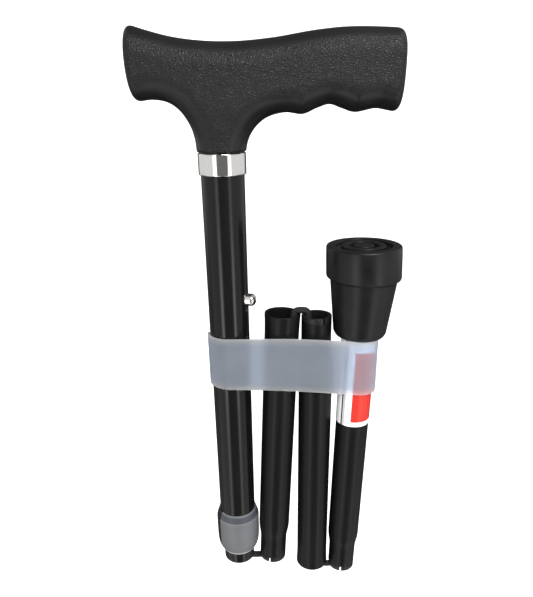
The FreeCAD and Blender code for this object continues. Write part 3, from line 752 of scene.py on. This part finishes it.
def make_label(material):
    """Wrapped film. Each point has a height in mm and a turn in degrees, for the print."""
    seam, gap = math.radians(-141), math.radians(6)
    low, tall, wall, clearance = 113.0, 54.9, LABEL_WALL, 0.01
    turns = np.linspace(0, 2 * math.pi - gap, 121)
    heights = np.linspace(0, tall, 23)
    points, turn_values, height_values = [], [], []
    for radius in (TUBE_RADIUS + wall, TUBE_RADIUS + clearance):
        for height in heights:
            for turn in turns:
                angle = seam + gap / 2 + turn
                points.append((radius * math.cos(angle), radius * math.sin(angle), low + height))
                turn_values.append(math.degrees(turn))
                height_values.append(height)
    wide, rows = len(turns), len(heights)
    sheet = rows * wide
    faces = []
    for first in (0, sheet):
        for row in range(rows - 1):
            for column in range(wide - 1):
                a = first + row * wide + column
                face = (a, a + 1, a + wide + 1, a + wide)
                faces.append(face[::-1] if first else face)
    edge = ([(0, c) for c in range(wide)] + [(r, wide - 1) for r in range(1, rows)]
            + [(rows - 1, c) for c in range(wide - 2, -1, -1)]
            + [(r, 0) for r in range(rows - 2, 0, -1)])
    for (r0, c0), (r1, c1) in zip(edge, edge[1:] + edge[:1]):
        a, b = r0 * wide + c0, r1 * wide + c1
        faces.append((b, a, a + sheet, b + sheet))
    obj = piece("wrapped_label", points, faces, material, "section_4", ["label"],
                FOURTH)
    mark(obj, "turn", turn_values)
    mark(obj, "height", height_values)


def make_band(material):
    """Strap round the tubes: its edges fall to the right, and its back hangs lower."""
    strap_z = 158.42
    right_x = FOURTH_OFFSET + (strap_z - FOURTH_FOOT) * math.tan(math.radians(FOURTH_LEAN))
    top_edge = catmull([(-14, 174.0), (0, 174.0), (36, 173.3), (69, 171.0), (84, 170.2)])
    low_edge = catmull([(-14, 143.3), (0, 143.1), (36, 141.2), (69, 138.0), (84, 136.6)])
    near, far = UPPER_RADIUS + 0.35, TUBE_RADIUS + LABEL_WALL + 0.25
    wall, drop = 1.1, 10.5
    tilt = math.asin((near - far) / right_x)

    def loop(grow):
        """Plan of the strap: about the shaft, across the tubes, and about the last section."""

        def round_end(x, radius, start, end):
            return [(x + radius * math.cos(a), radius * math.sin(a))
                    for a in np.linspace(start, end, 33)]

        left = round_end(0, near + grow, math.pi / 2 - tilt, 3 * math.pi / 2 + tilt)
        right = round_end(right_x, far + grow, -math.pi / 2 + tilt, math.pi / 2 - tilt)
        start, end = np.array(left[-1]), np.array(right[0])
        front = [tuple(start + (end - start) * t) for t in np.linspace(0, 1, 26)[1:-1]]
        back = [(x, -y) for x, y in front[::-1]]
        return np.array(left + front + right + back)

    inner, outer = loop(0), loop(wall)
    middle, around = (inner + outer) / 2, len(inner)
    half = wall / 2
    # section of the strap, as (across, share of its height, up): flat faces with rounded edges
    bend = [(math.cos(a), math.sin(a)) for a in np.linspace(0, math.pi, 7)]
    section = ([(half * c, 1, half * s - half) for c, s in bend]
               + [(-half, t, 0) for t in np.linspace(1, 0, 9)[1:-1]]
               + [(-half * c, 0, half - half * s) for c, s in bend]
               + [(half, t, 0) for t in np.linspace(0, 1, 9)[1:-1]])
    points, faces = [], []
    for index in range(around):
        out = outer[index] - inner[index]
        out /= np.linalg.norm(out)
        along, back = middle[index]
        sag = drop * smoothstep(back, 0, 12)
        low = np.interp(along, *low_edge.T) - sag
        high = np.interp(along, *top_edge.T) - sag
        for across, share, up in section:
            spot = middle[index] + out * across
            points.append((spot[0], spot[1], low + (high - low) * share + up))
    wide = len(section)
    for index in range(around):
        following = (index + 1) % around
        for step in range(wide):
            after = (step + 1) % wide
            faces.append((index * wide + step, index * wide + after,
                          following * wide + after, following * wide + step))
    obj = outward(piece("strap", points, faces, material, "folding_band",
                        ["folding_band"], SHAFT, sharp=50))
    # rim marks the rounded edges, which the strap's material paints white as a highlight
    mark(obj, "rim", [float(up != 0) for _, _, up in section] * around)


def arc(centre, radius, start, end, count, y=0.0):
    """Points of an arc in an XZ plane, from one angle to another in degrees."""
    return [(centre[0] + radius * math.cos(math.radians(a)), y,
             centre[1] + radius * math.sin(math.radians(a)))
            for a in np.linspace(start, end, count)]


def make_bridges(material):
    """Stretches of the elastic cord that show between the sections' ends."""
    crown_z, turn_z = 183.5, 11.5
    crown, foot, bight, aside = 2.6, 3.2, 3.73, 3.0
    shaft_leg = Vector((SHAFT_X + 5.4, aside, 12.5))
    second_leg = SECOND @ Vector((-3.63, aside, 0))
    mouth = SECOND @ Vector((6.5, 0, SECOND_LENGTH))
    rise = (crown_z - second_leg.z) / (mouth.z - second_leg.z)
    second_top = Vector((second_leg.x + (mouth.x - second_leg.x) * rise, 0, crown_z))
    third_top = Vector((SHAFT_X + THIRD_OFFSET - 4.7, 0, crown_z))
    third_leg = Vector((SHAFT_X + THIRD_OFFSET + 6.5, 0, THIRD_FOOT))
    fourth_leg = FOURTH @ Vector((-5.2, 0, 0))
    first = ([(shaft_leg.x, aside, 20.0), (shaft_leg.x, aside, turn_z + 0.5)]
             + arc((shaft_leg.x + foot, turn_z), foot, 180, 270, 9, aside)
             + arc((second_leg.x - foot, turn_z), foot, 270, 360, 9, aside)
             + [(second_leg.x, aside, turn_z + 0.6),
                (second_leg.x + 0.25, aside - 0.1, turn_z + 6)])
    second = ([(second_top.x - 0.25, 0, crown_z - 6), (second_top.x, 0, crown_z - 0.3)]
              + arc((second_top.x + crown, crown_z), crown, 180, 90, 9)
              + arc((third_top.x - crown, crown_z), crown, 90, 0, 9)
              + [(third_top.x, 0, crown_z - 0.3), (third_top.x + 0.05, 0, crown_z - 6)])
    third = ([(third_leg.x, 0, third_leg.z + 6), (third_leg.x, 0, third_leg.z + 0.3)]
             + arc((third_leg.x + bight, third_leg.z), bight, 180, 270, 9)
             + arc((fourth_leg.x - bight, third_leg.z), bight, 270, 360, 9)
             + [(fourth_leg.x, 0, third_leg.z + 0.3), (fourth_leg.x + 0.15, 0, third_leg.z + 7)])
    for number, route, radius, start, end in (
            (1, first, 2.05, shaft_leg, second_leg),
            (2, second, 1.85, second_top, third_top),
            (3, third, 2.0, third_leg, fourth_leg)):
        points, faces = tube_along(route, radius)
        obj = outward(piece(f"cord_loop_{number}", points, faces, material, None,
                            [f"cord_bridge_{number}"]))
        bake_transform(obj)


def paint(material, *names):
    """Gives carried-over CAD nodes their material."""
    for name in names:
        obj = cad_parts[name]
        if not obj.material_slots:
            obj.data.materials.append(material)
        for slot in obj.material_slots:
            slot.material = material


# ---------------------------------------------------------------- build

gloss, nylon, cord_look = tube_material(), ring_material(), cord_material()
satin = tube_material("satin_black_tube", 0.31, 0.37, 0.15)
rubber = rubber_material()
make_handle(handle_material())
make_outer_tube(tube_material("gloss_drilled_tube", bore=0.01095))
make_collar(chrome_material())
make_sleeve(sleeve_material())
make_inner_tube(gloss)
make_button(chrome_material("nickel", (0.78, 0.76, 0.72), 0.12, 0.2))
make_sections(satin)
make_rings(nylon)
make_tip(rubber)
make_label(label_material())
make_band(band_material())
make_bridges(cord_look)
paint(nylon, "glide_bush", "tube_plug", "cord_anchor_bottom")
paint(cord_look, "cord_run_1", "cord_run_2", "cord_run_3", "cord_run_4")
steel = chrome_material("spring_steel", (0.55, 0.55, 0.55), 0.25, 0.4)
paint(steel, "button_spring", "cord_anchor_top", "tip_washer")

# ---------------------------------------------------------------- studio


def make_floor():
    """Pale floor that curves up behind, low enough for the cane to open above it."""
    drop, half_width, bend_y, bend = 0.62, 3.0, 1.6, 0.9
    rows = [(-1.5, 0.0), (1.0, 0.0), (bend_y, 0.0)]
    rows += [(bend_y + bend * math.sin(a), bend - bend * math.cos(a)) for a in
             np.linspace(0.1, math.pi / 2, 16)] + [(bend_y + bend, 2.6)]
    points = [(x, y, z - drop) for y, z in rows for x in (-half_width, half_width)]
    faces = [(2 * i, 2 * i + 1, 2 * i + 3, 2 * i + 2) for i in range(len(rows) - 1)]
    mesh = bpy.data.meshes.new("floor")
    mesh.from_pydata(points, [], faces)
    mesh.shade_smooth()
    floor = bpy.data.objects.new("floor", mesh)
    bpy.context.scene.collection.objects.link(floor)
    material = bpy.data.materials.new("pale_floor")
    material.use_nodes = True
    shader = material.node_tree.nodes["Principled BSDF"]
    shader.inputs["Base Color"].default_value = (0.96, 0.96, 0.96, 1)
    shader.inputs["Roughness"].default_value = 0.9
    shader.inputs["Specular IOR Level"].default_value = 0.0
    shader.inputs["Emission Color"].default_value = (1, 1, 1, 1)
    shader.inputs["Emission Strength"].default_value = 0.3
    mesh.materials.append(material)
    floor.visible_glossy = False
    floor.visible_transmission = False


def make_world():
    """Even white light. Reflections see two tall soft boxes, with dark between and behind them."""
    white, through_strap, most = 1.27, 0.32, 4.0
    plain, box, gap, behind = 0.95, 3.2, 0.2, 0.1
    world = bpy.data.worlds.new("studio")
    bpy.context.scene.world = world
    world.use_nodes = True
    tree = world.node_tree
    tree.nodes.clear()

    def add(kind, **settings):
        node = tree.nodes.new(kind)
        for key, value in settings.items():
            setattr(node, key, value)
        return node

    def calc(operation, first, second=0.0):
        node = add("ShaderNodeMath", operation=operation)
        for socket, value in zip(node.inputs, (first, second)):
            if isinstance(value, bpy.types.NodeSocket):
                tree.links.new(value, socket)
            else:
                socket.default_value = value
        return node.outputs[0]

    place = add("ShaderNodeTexCoord")
    split = add("ShaderNodeSeparateXYZ")
    tree.links.new(place.outputs["Generated"], split.inputs[0])
    x, y, z = split.outputs
    turn = calc("ARCTAN2", x, calc("MULTIPLY", y, -1.0))
    share = calc("ADD", calc("DIVIDE", turn, 2 * math.pi), 0.5)
    ramp = add("ShaderNodeValToRGB")
    tree.links.new(share, ramp.inputs[0])
    stops = [(-148, behind), (-128, plain), (-44, plain), (-33, box), (-27, 3.0), (-22, gap),
             (28, gap), (35, 3.0), (40, box), (48, plain), (128, plain), (148, behind)]
    elements = ramp.color_ramp.elements
    while len(elements) < len(stops):
        elements.new(0.5)
    for element, (angle, level) in zip(elements, stops):
        element.position = (angle + 180) / 360
        element.color = (*grey(level / most), 1)
    around = calc("MULTIPLY", ramp.outputs["Color"], most)

    def fade(value, start, end, low=0.0, high=1.0):
        node = add("ShaderNodeMapRange", interpolation_type="SMOOTHSTEP")
        tree.links.new(value, node.inputs["Value"])
        for name, level in (("From Min", start), ("From Max", end), ("To Min", low),
                            ("To Max", high)):
            node.inputs[name].default_value = level
        return node.outputs[0]

    # the boxes are brightest at the height that the middle of the tubes reflects
    box_light = calc("MAXIMUM", calc("SUBTRACT", around, plain), 0.0)
    level_band = calc("MULTIPLY", fade(z, -0.54, -0.42), fade(z, -0.18, -0.27, 0, 1.5))
    around = calc("ADD", around, calc("MULTIPLY", box_light, level_band))
    # dimmer high up on the camera's side, and low down on the far side
    dim_above = calc("MULTIPLY", fade(z, 0.0, 0.35, 0, 0.65), fade(y, 0.3, -0.2))
    dim_below = calc("MULTIPLY", fade(z, -0.12, -0.32, 0, 0.75), fade(y, -0.15, 0.3))
    around = calc("MULTIPLY", around, calc("SUBTRACT", calc("SUBTRACT", 1.0, dim_above),
                                           dim_below))
    # glossy rays see the boxes, and the rest plain white, dimmer for rays straight through the strap
    paths = add("ShaderNodeLightPath")
    mixed = add("ShaderNodeMix", data_type="FLOAT")
    tree.links.new(paths.outputs["Is Glossy Ray"], mixed.inputs[0])
    mixed.inputs[2].default_value = white
    tree.links.new(around, mixed.inputs[3])
    through = add("ShaderNodeMix", data_type="FLOAT")
    straight = calc("SUBTRACT", 1.0, calc("MINIMUM", paths.outputs["Diffuse Depth"], 1.0))
    tree.links.new(calc("MULTIPLY", paths.outputs["Is Transmission Ray"], straight),
                   through.inputs[0])
    tree.links.new(mixed.outputs[0], through.inputs[2])
    through.inputs[3].default_value = through_strap
    background = add("ShaderNodeBackground")
    tree.links.new(through.outputs[0], background.inputs["Strength"])
    output = add("ShaderNodeOutputWorld")
    tree.links.new(background.outputs[0], output.inputs[0])


def make_lights():
    """Two broad lights that reflections leave out, and two strips for the handle's sheen."""
    for name, place, size, power, shiny in (
            ("key_light", (-0.9, -1.0, 1.3), (0.9, 0.9), 7.0, False),
            ("fill_light", (1.1, -0.7, 0.9), (0.8, 0.8), 4.0, False),
            ("front_light", (0.26, -0.80, 0.845), (0.5, 0.22), 6.0, True),
            ("ridge_light", (0.34, -0.50, 1.12), (0.24, 0.12), 6.0, True)):
        data = bpy.data.lights.new(name, "AREA")
        data.shape, data.size, data.size_y, data.energy = "RECTANGLE", *size, power
        light = bpy.data.objects.new(name, data)
        bpy.context.scene.collection.objects.link(light)
        light.location = place
        aim = Vector((0, 0, 0.3 if shiny else 0.15))
        light.rotation_euler = (aim - Vector(place)).to_track_quat("-Z", "Y").to_euler()
        light.visible_glossy = shiny


def make_camera():
    """Camera at the photograph's place: level with the handle, and tilted down."""
    data = bpy.data.cameras.new("camera")
    data.lens, data.sensor_width, data.sensor_fit = 33.745, 36.0, "AUTO"
    data.shift_y = 0.0921
    camera = bpy.data.objects.new("camera", data)
    bpy.context.scene.collection.objects.link(camera)
    turn = (Matrix.Rotation(math.radians(90 - 23.527), 4, "X")
            @ Matrix.Rotation(math.radians(-0.995), 4, "Z"))
    camera.matrix_world = Matrix.Translation((-0.00585, -0.29546, 0.2887)) @ turn
    bpy.context.scene.camera = camera


make_floor()
make_world()
make_lights()
make_camera()
bpy.context.scene.view_settings.view_transform = "Standard"
